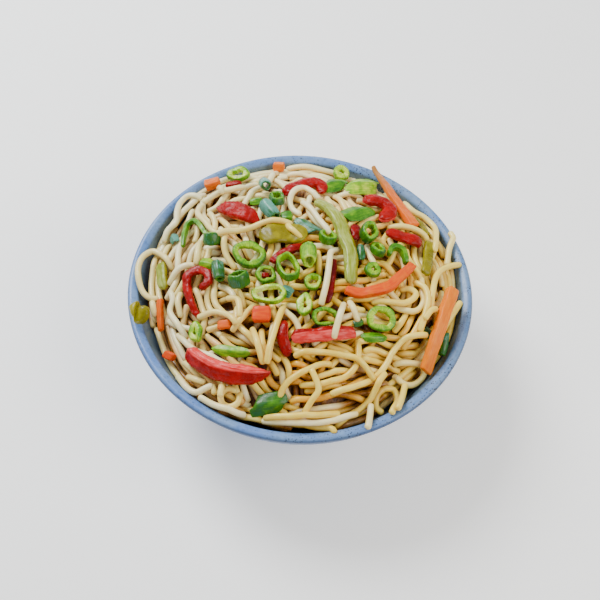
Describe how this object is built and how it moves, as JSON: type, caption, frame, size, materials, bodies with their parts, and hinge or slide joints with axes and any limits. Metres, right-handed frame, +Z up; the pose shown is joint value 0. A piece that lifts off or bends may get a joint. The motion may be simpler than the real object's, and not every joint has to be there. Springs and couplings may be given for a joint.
{
  "type": "bowl of vegetable noodles",
  "caption": "Round speckled blue-grey stoneware bowl heaped with stir-fried noodles, sweet pepper strips, carrot batons and cut spring onion",
  "frame": {"origin": "middle of the foot ring's underside, on the table", "axes": "+Z is up, the bowl's axis of turning; +Y points to the far side in the picture and +X to its right"},
  "size_m": [0.165, 0.165, 0.0811],
  "materials": {
    "bowl": "speckled blue-grey stoneware glaze, gloss",
    "noodle": "moist cooked noodle, satin",
    "red_pepper": "glossy skin, paler flesh",
    "green_pepper": "olive skin, pale flesh",
    "carrot": "moist cut carrot",
    "spring_onion": "ribbed leaf, paler inside"
  },
  "bodies": {
    "root": {"bowl": "bowl", "carrot_baton": "carrot", "carrot_chunk": "carrot", "carrot_cube_left": "carrot", "carrot_cube_top": "carrot", "carrot_curve": "carrot", "carrot_long": "carrot", "carrot_sliver": "carrot", "green_pepper_hook": "green_pepper", "green_pepper_outer": "green_pepper", "green_pepper_pale": "green_pepper", "green_pepper_rim": "green_pepper", "green_pepper_upright": "green_pepper", "green_pepper_wide": "green_pepper", "noodles": "noodle", "onion_arc": "spring_onion", "onion_arch": "spring_onion", "onion_block": "spring_onion", "onion_cup": "spring_onion", "onion_fold": "spring_onion", "onion_leaf_bright": "spring_onion", "onion_leaf_dark": "spring_onion", "onion_leaf_far": "spring_onion", "onion_leaf_pale": "spring_onion", "onion_leaf_shade": "spring_onion", "onion_loop": "spring_onion", "onion_loop_small": "spring_onion", "onion_oval": "spring_onion", "onion_over_carrot": "spring_onion", "onion_ring_back": "spring_onion", "onion_ring_button": "spring_onion", "onion_ring_dark": "spring_onion", "onion_ring_left": "spring_onion", "onion_ring_lime": "spring_onion", "onion_ring_narrow": "spring_onion", "onion_ring_pair": "spring_onion", "onion_ring_right": "spring_onion", "onion_ring_rim": "spring_onion", "onion_ring_tall": "spring_onion", "onion_ring_wide": "spring_onion", "onion_ring_yellow": "spring_onion", "onion_slice": "spring_onion", "onion_strip_right": "spring_onion", "onion_tube_green": "spring_onion", "onion_tube_left": "spring_onion", "onion_tube_long": "spring_onion", "onion_tube_pale": "spring_onion", "onion_tube_right": "spring_onion", "onion_tube_teal": "spring_onion", "red_pepper_bar": "red_pepper", "red_pepper_chip": "red_pepper", "red_pepper_crescent": "red_pepper", "red_pepper_curl": "red_pepper", "red_pepper_deep": "red_pepper", "red_pepper_fold": "red_pepper", "red_pepper_hook": "red_pepper", "red_pepper_pod": "red_pepper", "red_pepper_thread": "red_pepper", "red_pepper_top": "red_pepper", "red_pepper_under": "red_pepper"}
  },
  "joints": []
}
